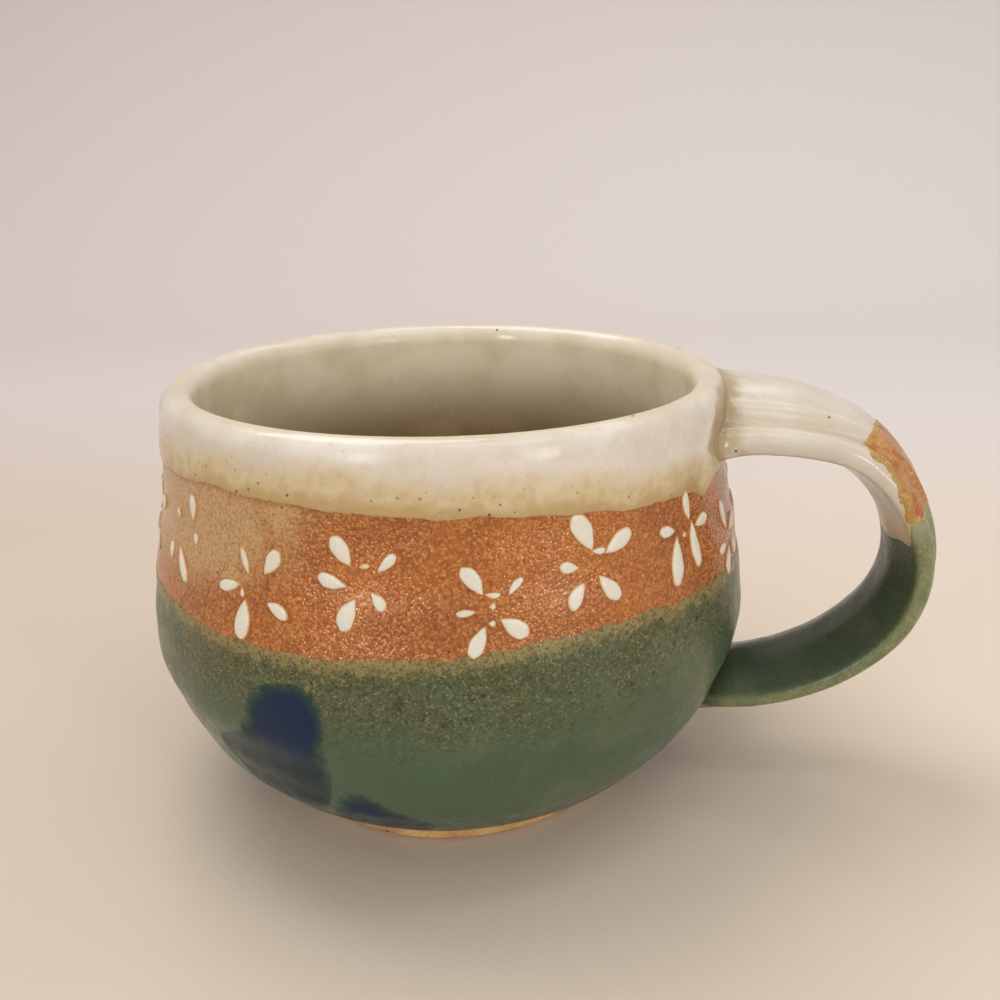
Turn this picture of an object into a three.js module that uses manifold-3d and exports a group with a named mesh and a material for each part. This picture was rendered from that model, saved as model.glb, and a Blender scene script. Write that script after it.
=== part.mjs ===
// A hand-thrown stoneware mug with a pulled strap handle, in millimetres, +Z up.
// The bowl stands on its trimmed foot ring at z = 0 and the handle points along +X.
// The clay pieces, the slip and glaze coats and each brushed flower are separate solids.
import * as THREE from "three";
import { mergeVertices } from "three/addons/utils/BufferGeometryUtils.js";
import Module from "manifold-3d";

const wasm = await Module();
wasm.setup();

// ---- Driving dimensions ----
const RIM_HEIGHT = 73.2;
const BELLY_RADIUS = 52.2;
const LIP_RADIUS = 45.75; // radius at the middle of the lip's thickness
const LIP_HALF_WIDTH = 2.75;
const LIP_DEPTH = 3.2; // height of the rounded part of the lip
const FOOT_RADIUS = 31.2;
const FOOT_WIDTH = 4.8;
const FOOT_RECESS = 3.4; // how far the base is hollowed inside the foot ring
const FOOT_BEVEL = 0.5;
const FOOT_LEAN = 1.2; // how far the foot ring's inner side leans in
const FLOOR_HEIGHT = 9; // the bottom of the inside
const GREEN_FROM = 2.6; // the green coat stops just above the foot ring
const GREEN_TO = 43.8;
const BAND_TO = 61.8; // the rust band runs from the green coat up to the rim coat
const COAT = 0.5; // thickness of a glaze or slip coat
const GAP = 0.1; // clearance between fused neighbours
const SEAM = 0.15; // half the clearance between two coats that meet edge to edge
const TURNS = 40; // facets round the bowl

const HANDLE_REACH = 80.5; // the handle's middle line at its furthest, from the bowl's axis
const STRAP_WIDTH_TOP = 26.2;
const STRAP_WIDTH_END = 16.7;
const STRAP_EDGE = 2.6; // thickness at the strap's rounded edges
const STRAP_CROWN = 9; // thickness along the strap's middle
const STRAP_TWIST = [19.5, 1.2, -5.5]; // degrees at the top joint, half way and at the end
const STRAP_STATIONS = 32; // sections along the strap
const SECTION_CORNERS = 16; // corners round each section
const SECTION_ROUNDNESS = 2 / 3; // 1 would be an ellipse, 0 a rectangle
const UPPER_COIL_TO = 3 / STRAP_STATIONS; // shares of the strap's length, from its top joint
const PATCH_FROM = 9 / STRAP_STATIONS; // the bare rusty stretch of the strap's back
const WHITE_TO = 15 / STRAP_STATIONS;
const LOWER_COIL_FROM = 29 / STRAP_STATIONS;
const STRAP_SEAM = 0.002; // the same kind of share, left open between two coats on the strap
const PATCH_DEPTH = 0.4; // how far above the strap's middle the rusty stretch begins
const COIL_FLARE = 4; // how far the joint coils spread sideways from the strap at the wall
const UPPER_COIL_LIFT = 1.2; // how far they spread above and below it
const LOWER_COIL_LIFT = 3;

const FLOWERS = 18;
const FLOWER_FIRST = -132; // degrees from the handle
const FLOWER_HEIGHT = 52.5;
const FLOWER_LIFTS = [1.5, -1, 1.2, -2.2, 1.6, 1.3, -3.7, -3, 0.5]; // taken in turn, twice round
const FLOWER_REACH = 7; // petal tip from the flower's middle
const FLOWER_CORE = 1.3;
const FLOWER_TURN = 11; // degrees from one flower to the next, five in turn
const PETALS = 5;
const POINTS_PER_PETAL = 5;
const PETAL_FULLNESS = 0.8; // below 1 rounds the petals, above 1 points them
const RELIEF = 0.4; // height of brushed decoration above its coat
const FLOWER_GAP = 0.3; // clears the band between a flower's corners
const LARGE_BLOT_DEGREES = -107; // the blots' middles, from the handle and above the table
const LARGE_BLOT_HEIGHT = 27;
const SMALL_BLOT_DEGREES = -93;
const SMALL_BLOT_HEIGHT = 14;
const PRISM_FROM = 30; // radii that clear the lower wall's inside and outside
const PRISM_TO = 60;

// ---- Outlines, as [radius, height] from the bowl's axis ----
const WALL = new THREE.SplineCurve([
  new THREE.Vector2(FOOT_RADIUS + 0.9, GREEN_FROM),
  new THREE.Vector2(39.9, 8.6),
  new THREE.Vector2(46.7, 16.5),
  new THREE.Vector2(BELLY_RADIUS - 0.6, 28),
  new THREE.Vector2(BELLY_RADIUS, 35.5),
  new THREE.Vector2(51.1, 45.5),
  new THREE.Vector2(49.2, 56),
  new THREE.Vector2(LIP_RADIUS + LIP_HALF_WIDTH + 0.4, 64),
  new THREE.Vector2(LIP_RADIUS + LIP_HALF_WIDTH, RIM_HEIGHT - LIP_DEPTH),
]);
const INSIDE = new THREE.SplineCurve([
  new THREE.Vector2(LIP_RADIUS - LIP_HALF_WIDTH, RIM_HEIGHT - LIP_DEPTH),
  new THREE.Vector2(43.6, 60),
  new THREE.Vector2(45.6, 48),
  new THREE.Vector2(46.6, 36),
  new THREE.Vector2(44.4, 24),
  new THREE.Vector2(36.5, 14),
  new THREE.Vector2(24, 9.8),
  new THREE.Vector2(0, FLOOR_HEIGHT),
]);
const LIP = new THREE.EllipseCurve(
  LIP_RADIUS,
  RIM_HEIGHT - LIP_DEPTH,
  LIP_HALF_WIDTH,
  LIP_DEPTH,
  0,
  Math.PI,
);
const HANDLE_LINE = new THREE.CatmullRomCurve3([
  new THREE.Vector3(44, 0, 66.2),
  new THREE.Vector3(60.1, 0, 65.2),
  new THREE.Vector3(70.7, 0, 61.4),
  new THREE.Vector3(77.6, 0, 53.2),
  new THREE.Vector3(HANDLE_REACH, 0, 42.4),
  new THREE.Vector3(78, 0, 32.6),
  new THREE.Vector3(70.8, 0, 24.5),
  new THREE.Vector3(60.7, 0, 18.8),
  new THREE.Vector3(39, 0, 13.8),
]);

// ---- Solids ----
function toManifold(geometry) {
  const bare = geometry.clone();
  bare.deleteAttribute("normal");
  bare.deleteAttribute("uv");
  const merged = mergeVertices(bare, 1e-3);
  const mesh = new wasm.Mesh({
    numProp: 3,
    vertProperties: new Float32Array(merged.attributes.position.array),
    triVerts: new Uint32Array(merged.index.array),
  });
  return new wasm.Manifold(mesh);
}

function toGeometry(solid) {
  const mesh = solid.getMesh();
  const geometry = new THREE.BufferGeometry();
  geometry.setAttribute("position", new THREE.BufferAttribute(mesh.vertProperties, 3));
  geometry.setIndex(new THREE.BufferAttribute(mesh.triVerts, 1));
  geometry.computeVertexNormals();
  return geometry;
}

// A solid of revolution about Z; the profile runs anticlockwise in the [radius, height] plane.
function revolve(profile) {
  const geometry = new THREE.LatheGeometry(profile, TURNS, Math.PI / 2);
  geometry.rotateX(Math.PI / 2);
  return toManifold(geometry);
}

// The part of a curve between two of its parameters, as steps + 1 points.
function stretch(curve, from, to, steps) {
  const points = [];
  for (let i = 0; i <= steps; i++) {
    points.push(curve.getPoint(from + ((to - from) * i) / steps));
  }
  return points;
}

// The parameter at which the wall, which only climbs, passes a height.
function wallAt(height) {
  let low = 0;
  let high = 1;
  const halvings = 40;
  for (let i = 0; i < halvings; i++) {
    const middle = (low + high) / 2;
    if (WALL.getPoint(middle).y < height) {
      low = middle;
    } else {
      high = middle;
    }
  }
  return (low + high) / 2;
}

// Points moved sideways by a distance, to the right of the way they run.
function offset(points, distance) {
  return points.map((point, i) => {
    const before = points[Math.max(i - 1, 0)];
    const after = points[Math.min(i + 1, points.length - 1)];
    const along = new THREE.Vector2().subVectors(after, before).normalize();
    return new THREE.Vector2(
      Math.max(point.x + along.y * distance, 0),
      point.y - along.x * distance,
    );
  });
}

// The outer surface from the foot to the middle of the lip's top, and on down the inside.
// The stations are shared by the clay and every coat, so that their facets lie parallel.
const GREEN_STATIONS = stretch(WALL, 0, wallAt(GREEN_TO), 8);
const BAND_STATIONS = stretch(WALL, wallAt(GREEN_TO), wallAt(BAND_TO), 3);
const RIM_STATIONS = stretch(WALL, wallAt(BAND_TO), 1, 2);
const LIP_STATIONS = stretch(LIP, 0, 1, 6);
const INSIDE_STATIONS = stretch(INSIDE, 0, 1, 10);
const OUTSIDE = [
  ...GREEN_STATIONS,
  ...BAND_STATIONS.slice(1),
  ...RIM_STATIONS.slice(1),
  ...LIP_STATIONS.slice(1),
];
const SKIN = [...OUTSIDE, ...INSIDE_STATIONS.slice(1)];

// A filled body inside the bowl's outer surface up to the lip's crest, moved out by a distance.
function filledBowl(distance) {
  const crest = OUTSIDE.length - Math.floor(LIP_STATIONS.length / 2);
  const outer = offset(OUTSIDE.slice(0, crest), distance);
  return revolve([
    new THREE.Vector2(0, outer[0].y),
    ...outer,
    new THREE.Vector2(0, outer[outer.length - 1].y),
  ]);
}

function ringBetween(stations, from, to) {
  const outer = offset(stations, to);
  const inner = offset(stations, from).reverse();
  return revolve([...outer, ...inner, outer[0].clone()]);
}

function clayProfile() {
  const clay = offset(SKIN, -COAT - GAP);
  const ringInside = FOOT_RADIUS - FOOT_WIDTH;
  const last = clay.pop();
  return [
    new THREE.Vector2(0, FOOT_RECESS),
    new THREE.Vector2(ringInside - FOOT_LEAN, FOOT_RECESS),
    new THREE.Vector2(ringInside, FOOT_BEVEL),
    new THREE.Vector2(ringInside + FOOT_BEVEL, 0),
    new THREE.Vector2(FOOT_RADIUS - FOOT_BEVEL, 0),
    new THREE.Vector2(FOOT_RADIUS, FOOT_BEVEL),
    ...clay,
    new THREE.Vector2(0, last.y),
  ];
}

// ---- The strap ----
function strapTwist(u) {
  const [top, middle, end] = STRAP_TWIST;
  const degrees =
    top * (1 - u) * (1 - 2 * u) + 4 * middle * u * (1 - u) + end * u * (2 * u - 1);
  return THREE.MathUtils.degToRad(degrees);
}

// A circle's coordinate pushed out towards the square around it.
function squared(value) {
  return Math.sign(value) * Math.abs(value) ** SECTION_ROUNDNESS;
}

// A full round-cornered lens, thick along its middle, grown on every side by a margin
// and further, by what spread says, where a joint coil widens it.
function strapSection(margin, spread = () => [0, 0]) {
  return (u) => {
    const half = THREE.MathUtils.lerp(STRAP_WIDTH_TOP, STRAP_WIDTH_END, u) / 2;
    const [sideways, lift] = spread(u);
    const outline = [];
    for (let i = 0; i < SECTION_CORNERS; i++) {
      const angle = (2 * Math.PI * i) / SECTION_CORNERS;
      const across = squared(Math.cos(angle));
      const out = squared(Math.sin(angle));
      const thick = STRAP_EDGE + (STRAP_CROWN - STRAP_EDGE) * (1 - across * across);
      outline.push([
        across * (half + margin + sideways),
        out * (thick / 2 + margin + lift),
      ]);
    }
    return outline;
  };
}

// The side of the strap away from the fingers, as a slab over its back.
function backSection(above) {
  return () => [
    [STRAP_WIDTH_TOP, above],
    [STRAP_WIDTH_TOP, STRAP_CROWN],
    [-STRAP_WIDTH_TOP, STRAP_CROWN],
    [-STRAP_WIDTH_TOP, above],
  ];
}

// The shares of the strap's length where a stretch of it has sections, its two ends included.
function strapStations(from, to) {
  const stations = [from];
  for (let i = 0; i <= STRAP_STATIONS; i++) {
    const u = i / STRAP_STATIONS;
    if (u > from + 1e-4 && u < to - 1e-4) {
      stations.push(u);
    }
  }
  stations.push(to);
  return stations;
}

// Lofts a section, given as [across, outwards] points, along the handle's middle line.
function loft(section, from, to) {
  const positions = [];
  const index = [];
  const count = section(from).length;
  const sideways = new THREE.Vector3(0, 1, 0);
  const stations = strapStations(from, to);
  const steps = stations.length - 1;
  for (const u of stations) {
    const middle = HANDLE_LINE.getPoint(u);
    const along = HANDLE_LINE.getTangent(u);
    const out = new THREE.Vector3().crossVectors(sideways, along).negate();
    const across = sideways.clone().applyAxisAngle(along, strapTwist(u));
    const outwards = out.applyAxisAngle(along, strapTwist(u));
    for (const [a, b] of section(u)) {
      const point = middle.clone().addScaledVector(across, a).addScaledVector(outwards, b);
      positions.push(point.x, point.y, point.z);
    }
  }
  for (let i = 0; i < steps; i++) {
    for (let j = 0; j < count; j++) {
      const a = i * count + j;
      const b = i * count + ((j + 1) % count);
      index.push(a, b, a + count);
      index.push(b, b + count, a + count);
    }
  }
  // Each end is closed by a fan about the middle line.
  const startCentre = positions.length / 3;
  const endCentre = startCentre + 1;
  positions.push(...HANDLE_LINE.getPoint(from).toArray());
  positions.push(...HANDLE_LINE.getPoint(to).toArray());
  for (let j = 0; j < count; j++) {
    const next = (j + 1) % count;
    index.push(startCentre, next, j);
    index.push(endCentre, steps * count + j, steps * count + next);
  }
  const geometry = new THREE.BufferGeometry();
  geometry.setAttribute("position", new THREE.Float32BufferAttribute(positions, 3));
  geometry.setIndex(index);
  const solid = toManifold(geometry);
  if (solid.volume() > 0) {
    return solid;
  }
  index.reverse();
  geometry.setIndex(index);
  return toManifold(geometry);
}

// A joint coil with the strap inside it: widest at the wall and fading along the strap.
function coilBody(wallEnd, freeEnd, lift, margin) {
  const spread = (u) => {
    const share = THREE.MathUtils.clamp((freeEnd - u) / (freeEnd - wallEnd), 0, 1);
    return [COIL_FLARE * share * share, lift * share * share];
  };
  const from = Math.min(wallEnd, freeEnd);
  const to = Math.max(wallEnd, freeEnd);
  return loft(strapSection(margin, spread), from, to);
}

function strapTube(from, to) {
  const outer = loft(strapSection(0), from, to);
  return outer.subtract(strapClearance);
}

// ---- Brushed decoration ----
// A prism through the wall, with its outline in the plane that faces an angle round the bowl.
function radialPrism(shape, degrees, height) {
  const depth = PRISM_TO - PRISM_FROM;
  const geometry = new THREE.ExtrudeGeometry(shape, { depth, bevelEnabled: false });
  geometry.rotateX(Math.PI / 2);
  geometry.rotateZ(Math.PI);
  geometry.translate(0, PRISM_FROM, 0);
  geometry.rotateZ(THREE.MathUtils.degToRad(degrees - 90));
  geometry.translate(0, 0, height);
  return toManifold(geometry);
}

function flowerShape(turn) {
  const corners = [];
  const count = PETALS * POINTS_PER_PETAL;
  for (let i = 0; i < count; i++) {
    const angle = (2 * Math.PI * i) / count;
    const swell = Math.abs(Math.cos((PETALS / 2) * angle)) ** PETAL_FULLNESS;
    const reach = FLOWER_CORE + (FLOWER_REACH - FLOWER_CORE) * swell;
    const direction = angle + THREE.MathUtils.degToRad(turn);
    corners.push(new THREE.Vector2(reach * Math.cos(direction), reach * Math.sin(direction)));
  }
  return new THREE.Shape(corners);
}

// A flat outline given the decoration's thickness and bent round the band.
function wrapOnWall(shape, degrees, height) {
  const geometry = new THREE.ExtrudeGeometry(shape, { depth: RELIEF, bevelEnabled: false });
  const position = geometry.attributes.position;
  for (let i = 0; i < position.count; i++) {
    const level = height + position.getY(i);
    const radius = WALL.getPoint(wallAt(level)).x + FLOWER_GAP + position.getZ(i);
    const angle = THREE.MathUtils.degToRad(degrees) + position.getX(i) / radius;
    position.setXYZ(i, radius * Math.cos(angle), radius * Math.sin(angle), level);
  }
  return toManifold(geometry);
}

function blotShape(corners) {
  const points = corners.map(([x, y]) => new THREE.Vector2(x, y));
  const outline = new THREE.SplineCurve([...points, points[0].clone()]);
  return new THREE.Shape(outline.getPoints(corners.length * 2).slice(0, -1));
}

// ---- The pieces ----
const mug = new THREE.Group();

function addPiece(name, solid, color, roughness) {
  const material = new THREE.MeshStandardMaterial({ color, roughness, metalness: 0 });
  const mesh = new THREE.Mesh(toGeometry(solid), material);
  mesh.name = name;
  mug.add(mesh);
}

const CLAY_COLOR = "#c8965a";
const WHITE_COLOR = "#d7c8b4";
const LINER_COLOR = "#a89b80";
const RUST_COLOR = "#aa6a37";
const GREEN_COLOR = "#4f5c48";
const HANDLE_GREEN_COLOR = "#47503a";
const COBALT_COLOR = "#2b3a58";
const FLOWER_COLOR = "#e6dccb";

const strapClearance = loft(strapSection(-COAT), 0, 1);
const upperCoil = coilBody(0, UPPER_COIL_TO, UPPER_COIL_LIFT, 0);
const lowerCoil = coilBody(1, LOWER_COIL_FROM, LOWER_COIL_LIFT, 0);
const upperClearance = coilBody(0, UPPER_COIL_TO, UPPER_COIL_LIFT, GAP);
const lowerClearance = coilBody(1, LOWER_COIL_FROM, LOWER_COIL_LIFT, GAP);
const joints = upperClearance.add(lowerClearance).add(strapClearance);
const clayClearance = filledBowl(-COAT);

addPiece("bowl_body", revolve(clayProfile()), CLAY_COLOR, 0.85);

const strap = loft(strapSection(-COAT - GAP), 0, 1).subtract(clayClearance);
addPiece("handle_strap", strap, CLAY_COLOR, 0.85);

const upperCollar = upperCoil.subtract(strapClearance).subtract(clayClearance);
addPiece("upper_joint_coil", upperCollar, WHITE_COLOR, 0.3);
const lowerCollar = lowerCoil.subtract(strapClearance).subtract(clayClearance);
addPiece("lower_joint_coil", lowerCollar, HANDLE_GREEN_COLOR, 0.3);

// The inside coat starts below the lip, which the rim coat wraps.
const linerInner = INSIDE_STATIONS.slice(1);
const linerOuter = offset(linerInner, -COAT).reverse();
linerOuter[0].x = 0;
const liner = revolve([...linerInner, ...linerOuter, linerInner[0].clone()]);
addPiece("liner_glaze", liner, LINER_COLOR, 0.25);

// Trims a ring of stations by the seam at both ends.
function seamed(stations) {
  const points = stations.map((point) => point.clone());
  const last = points.length - 1;
  const first = points[0].clone().sub(points[1]).normalize();
  const final = points[last].clone().sub(points[last - 1]).normalize();
  points[0].addScaledVector(first, -SEAM);
  points[last].addScaledVector(final, -SEAM);
  return points;
}

const rimStations = [
  ...RIM_STATIONS,
  ...LIP_STATIONS.slice(1),
  INSIDE_STATIONS[1],
];
const rimCoat = ringBetween(seamed(rimStations), -COAT, 0).subtract(joints);
addPiece("rim_glaze", rimCoat, WHITE_COLOR, 0.25);
const bandCoat = ringBetween(seamed(BAND_STATIONS), -COAT, 0).subtract(joints);
addPiece("rust_slip_band", bandCoat, RUST_COLOR, 0.5);
const greenCoat = ringBetween(seamed(GREEN_STATIONS), -COAT, 0).subtract(joints);
addPiece("green_base_glaze", greenCoat, GREEN_COLOR, 0.3);

const patchZone = loft(backSection(PATCH_DEPTH), PATCH_FROM, WHITE_TO);
const patchClearance = loft(
  backSection(PATCH_DEPTH - 2 * SEAM),
  PATCH_FROM - STRAP_SEAM,
  WHITE_TO + STRAP_SEAM,
);
const whiteTube = strapTube(UPPER_COIL_TO + STRAP_SEAM, WHITE_TO).subtract(patchClearance);
addPiece("handle_white_glaze", whiteTube, WHITE_COLOR, 0.25);
const patch = strapTube(PATCH_FROM, WHITE_TO).intersect(patchZone);
addPiece("handle_rust_patch", patch, RUST_COLOR, 0.6);
const greenTube = strapTube(WHITE_TO + STRAP_SEAM, LOWER_COIL_FROM - STRAP_SEAM);
addPiece("handle_green_glaze", greenTube, HANDLE_GREEN_COLOR, 0.3);

for (let i = 0; i < FLOWERS; i++) {
  const degrees = FLOWER_FIRST + (i * 360) / FLOWERS;
  const height = FLOWER_HEIGHT + FLOWER_LIFTS[i % FLOWER_LIFTS.length];
  const flower = wrapOnWall(flowerShape(90 + FLOWER_TURN * (i % 5)), degrees, height);
  const name = "flower_" + String(i + 1).padStart(2, "0");
  addPiece(name, flower, FLOWER_COLOR, 0.4);
}

// Cobalt brushed on the green coat, as outlines across and above each blot's middle.
const LARGE_BLOT = [
  [6, 9],
  [0.5, 10.2],
  [-6.5, 6.5],
  [-4, -1],
  [0.5, -9],
  [7, -8.5],
  [13, -6],
  [11.5, 0],
];
const SMALL_BLOT = [
  [4.5, 2],
  [-1.5, 4.6],
  [-6, -0.5],
  [-3, -4],
  [3, -3.5],
];
const greenRelief = ringBetween(GREEN_STATIONS, GAP, GAP + RELIEF);
const largePrism = radialPrism(blotShape(LARGE_BLOT), LARGE_BLOT_DEGREES, LARGE_BLOT_HEIGHT);
const largeBlot = greenRelief.intersect(largePrism);
addPiece("cobalt_blot_large", largeBlot, COBALT_COLOR, 0.3);
const smallPrism = radialPrism(blotShape(SMALL_BLOT), SMALL_BLOT_DEGREES, SMALL_BLOT_HEIGHT);
const smallBlot = greenRelief.intersect(smallPrism);
addPiece("cobalt_blot_small", smallBlot, COBALT_COLOR, 0.3);

// The frame's origin lies on the resting plane under the middle of the whole mug, handle
// included, so the bowl's own axis is left of it.
const extent = new THREE.Box3().setFromObject(mug);
mug.position.x = -(extent.min.x + extent.max.x) / 2;

export default mug;
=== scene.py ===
import math

import bpy
import numpy as np
from mathutils import Matrix, Vector


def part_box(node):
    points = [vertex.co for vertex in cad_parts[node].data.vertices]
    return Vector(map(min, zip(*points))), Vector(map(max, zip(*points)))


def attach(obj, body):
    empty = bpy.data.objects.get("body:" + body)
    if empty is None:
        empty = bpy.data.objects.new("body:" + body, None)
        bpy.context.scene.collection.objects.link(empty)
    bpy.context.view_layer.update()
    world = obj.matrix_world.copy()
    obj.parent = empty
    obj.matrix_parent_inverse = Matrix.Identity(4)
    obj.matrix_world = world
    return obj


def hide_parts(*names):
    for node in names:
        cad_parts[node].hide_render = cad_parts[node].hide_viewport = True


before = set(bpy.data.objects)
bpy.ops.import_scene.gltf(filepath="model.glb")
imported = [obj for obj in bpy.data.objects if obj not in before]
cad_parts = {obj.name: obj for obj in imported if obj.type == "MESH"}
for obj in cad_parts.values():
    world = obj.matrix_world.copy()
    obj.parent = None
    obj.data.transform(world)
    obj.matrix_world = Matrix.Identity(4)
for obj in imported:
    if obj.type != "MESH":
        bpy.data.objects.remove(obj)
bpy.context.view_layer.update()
bowl_low, bowl_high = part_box("bowl_body")
AXIS = 500 * (bowl_low.x + bowl_high.x)  # the bowl's axis stands at this x, in mm

# ------------------------ outlines of the bowl
WALL = [
    (32.1, 2.6), (39.9, 8.6), (46.7, 16.5), (51.6, 28), (52.2, 35.5), (51.1, 45.5), (49.2, 56),
    (48.9, 64), (48.5, 70),
]
INSIDE = [(43, 70), (43.6, 60), (45.6, 48), (46.6, 36), (44.4, 24), (36.5, 14), (24, 9.8), (0, 9)]
LIP = (45.75, 70, 2.75, 3.2)  # middle radius, height, half width, depth
FOOT_RADIUS = 31.2
FOOT_WIDTH = 4.8
FOOT_RECESS = 3.4
COAT = 0.5
CLAY_DEPTH = 0.6  # the clay lies this far below the outer skin
SKIN_STEP = 0.25  # between the points of the bowl's outline
SKIN_SMOOTHINGS = 12  # rounds off the small corners where its curves meet


def unit(value):
    return np.clip(value, 0, 1)


def cubic(a, b, leaving, arriving, t):
    """The curve from a to b with these slopes at its ends, for t from 0 to 1."""
    bend = (3 * b - 3 * a - 2 * leaving - arriving) * t**2
    return (2 * a - 2 * b + leaving + arriving) * t**3 + bend + leaving * t + a


def catmull_rom(points, samples=24):
    """A uniform Catmull-Rom curve through the points, as a dense polyline."""
    p = np.array(points, float)
    p = np.vstack([p[:1], p, p[-1:]])
    t = np.linspace(0, 1, samples, endpoint=False)[:, None]
    windows = zip(p[:-3], p[1:-2], p[2:-1], p[3:])
    spans = [cubic(b, c, (c - a) / 2, (d - b) / 2, t) for a, b, c, d in windows]
    return np.vstack(spans + [p[-1:]])


class Skin:
    """The bowl's finished surface by the distance walked along it from the foot, in mm."""

    def __init__(self):
        middle, height, half, depth = LIP
        turn = np.linspace(0, math.pi, 49)[1:-1]
        lip = np.stack([middle + half * np.cos(turn), height + depth * np.sin(turn)], 1)
        line = np.vstack([catmull_rom(WALL), lip, catmull_rom(INSIDE)])
        walked = np.concatenate([[0], np.cumsum(np.linalg.norm(np.diff(line, axis=0), axis=1))])
        self.s = np.arange(0, walked[-1], SKIN_STEP)
        self.r = np.interp(self.s, walked, line[:, 0])
        self.z = np.interp(self.s, walked, line[:, 1])
        for _ in range(SKIN_SMOOTHINGS):
            self.r[1:-1] = (self.r[:-2] + 2 * self.r[1:-1] + self.r[2:]) / 4
            self.z[1:-1] = (self.z[:-2] + 2 * self.z[1:-1] + self.z[2:]) / 4
        along_r, along_z = np.gradient(self.r), np.gradient(self.z)
        size = np.hypot(along_r, along_z)
        self.nr, self.nz = along_z / size, -along_r / size
        self.crest = self.s[np.argmax(self.z)]
        self.outer = self.s <= self.crest

    def at(self, s, offset=0.0):
        r = np.interp(s, self.s, self.r) + offset * np.interp(s, self.s, self.nr)
        z = np.interp(s, self.s, self.z) + offset * np.interp(s, self.s, self.nz)
        return np.maximum(r, 0), z

    def outside(self, z):
        """The distance walked to a height on the outside."""
        return np.interp(z, self.z[self.outer], self.s[self.outer])

    def inside(self, z):
        """The distance walked to a height on the inside."""
        return np.interp(z, self.z[~self.outer][::-1], self.s[~self.outer][::-1])


SKIN = Skin()


# ------------------------ hand-made unevenness
def waver(angles, seed, size, waves):
    """A wandering height round the bowl, in mm, that closes on itself; a seed to each use."""
    rng = np.random.default_rng(seed)
    total = np.zeros(np.shape(angles))
    for k in waves:
        total = total + rng.normal() * np.cos(k * angles + rng.uniform(0, 2 * math.pi))
    return size * total / math.sqrt(len(waves))


def lean(angles, z):
    """How far the thrown wall strays outwards from round, growing with height."""
    oval = 0.16 * np.cos(2 * angles + 0.9)
    three_sided = 0.08 * np.cos(3 * angles + 2.2)
    return (oval + three_sided) * unit(z / 60)


def from_handle(angles):
    """Degrees from the handle, from -180 to 180; the viewer is on the minus side."""
    return (np.degrees(angles) + 180) % 360 - 180


def rings(angles, s):
    """The shallow spiral the fingers leave up the outside."""
    fade = unit((SKIN.crest - s) / 8) * unit(s / 10)
    spiral = 0.07 * np.sin(2 * math.pi * s / 7.3 + angles)
    broad = 0.06 * np.sin(2 * math.pi * s / 17 + 2 * angles)
    return (spiral + broad) * fade


def on_bowl(s, angles, offset=0.0):
    """Points of the bowl's skin, moved out by an offset, as an array of x, y, z in mm."""
    s, angles, offset = np.broadcast_arrays(s, angles, offset)
    r, z = SKIN.at(s, offset + rings(angles, s))
    r = np.maximum(r + lean(angles, z) * unit(r / 20), 0)
    return np.stack([AXIS + r * np.cos(angles), r * np.sin(angles), z], -1)


def smooth_line(keys, window=13):
    """A height round the bowl through a few (degrees, mm) keys."""
    degrees = np.arange(720) / 2
    heights = np.interp(degrees, [k[0] % 360 for k in keys], [k[1] for k in keys], period=360)
    weights = np.hanning(4 * window)
    padded = np.concatenate([heights] * 3)
    smooth = np.convolve(padded, weights / weights.sum(), "same")[720:1440]
    return lambda angles: np.interp(np.degrees(angles) % 360, degrees, smooth, period=360)


RIM_LINE = smooth_line(
    [
        (-142, 62.6), (-126, 64.1), (-105, 63.7), (-80, 62.7), (-60, 62.0), (-46, 60.4),
        (-32, 59.5), (-15, 59.3), (25, 60.6), (75, 61.9), (130, 61.8), (175, 61.5),
    ]
)
GREEN_LINE = smooth_line(
    [
        (-140, 43.5), (-112, 42.6), (-90, 43.1), (-72, 44.1), (-50, 45.2), (-36, 44.5),
        (-20, 43.7), (30, 43.1), (90, 44.3), (150, 43.4),
    ]
)


def ripple(angles, seed, coarse, fine):
    """The uneven edge of a poured glaze, in mm: slow waves and small quick ones."""
    slow = waver(angles, seed, coarse, range(9, 40))
    return slow + waver(angles, seed + 1, fine, range(60, 130, 3))


def rim_edge(angles):
    """Where the white glaze ends on the wall: a pointed run by the handle, a rise behind it."""
    degrees = from_handle(angles)
    run = 1.5 * np.exp(-(((degrees + 24.5) / 3) ** 2))
    rise = 2.2 * np.exp(-((degrees / 13) ** 4))
    return SKIN.outside(RIM_LINE(angles) + ripple(angles, 11, 0.22, 0.1) - (run - rise))


def green_edge(angles):
    """Where the green glaze ends on the wall."""
    return SKIN.outside(GREEN_LINE(angles) + ripple(angles, 21, 0.25, 0.12))


# ------------------------ meshes
def build(name, points, faces, values=None, sharp=()):
    """A smooth mesh piece from points in mm, with named numbers on its points."""
    mesh = bpy.data.meshes.new(name)
    mesh.from_pydata([tuple(p) for p in np.asarray(points) * 0.001], [], faces)
    for key, numbers in (values or {}).items():
        layer = mesh.attributes.new(key, "FLOAT", "POINT")
        layer.data.foreach_set("value", np.asarray(numbers, np.float32))
    mesh.polygons.foreach_set("use_smooth", [True] * len(mesh.polygons))
    if sharp:
        wanted = {tuple(sorted(edge)) for edge in sharp}
        layer = mesh.attributes.new("sharp_edge", "BOOLEAN", "EDGE")
        flags = [tuple(sorted(e.vertices)) in wanted for e in mesh.edges]
        layer.data.foreach_set("value", flags)
    mesh.validate()
    mesh.update()
    piece = bpy.data.objects.new(name, mesh)
    bpy.context.scene.collection.objects.link(piece)
    return piece


def outwards(points, faces):
    """The faces of a closed piece, turned over if they look inwards."""
    corners = np.array([(face[0], b, c) for face in faces for b, c in zip(face[1:], face[2:])])
    a, b, c = np.asarray(points)[corners].transpose(1, 0, 2)
    inside = (a * np.cross(b, c)).sum() / 6
    return faces if inside > 0 else [face[::-1] for face in faces]


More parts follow.
